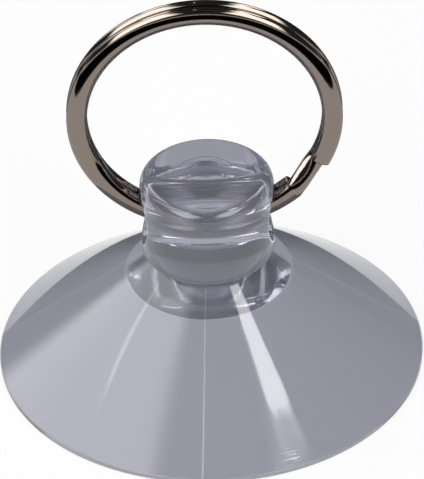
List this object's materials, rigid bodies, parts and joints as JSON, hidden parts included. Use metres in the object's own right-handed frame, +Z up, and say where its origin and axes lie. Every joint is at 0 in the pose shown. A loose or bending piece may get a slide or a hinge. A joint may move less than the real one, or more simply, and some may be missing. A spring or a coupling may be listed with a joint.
{
  "type": "suction cup with key ring",
  "caption": "Clear soft suction cup with a thin conical skirt and a barrel knob, and a steel split ring through the knob's cross hole.",
  "frame": {"origin": "centre of the rim's plane, on the surface that the cup rests on", "axes": "+Z up along the knob's axis; X along the knob's cross hole, so the ring stands in the XZ plane but for a lean of 1.5 degrees to the front; -Y towards the viewer"},
  "size_m": [0.05, 0.05, 0.0509],
  "materials": {
    "clear_pvc": "gloss",
    "nickel_plated_steel": "polished"
  },
  "bodies": {
    "cup": {"suction_cup": "clear_pvc"},
    "ring": {"split_ring": "nickel_plated_steel"}
  },
  "joints": [
    {"name": "ring_swing", "type": "hinge", "parent": "cup", "child": "ring", "pos_m": [0, 0, 0.02046], "axis": [1, 0, 0], "range_deg": [-126, 124]}
  ]
}
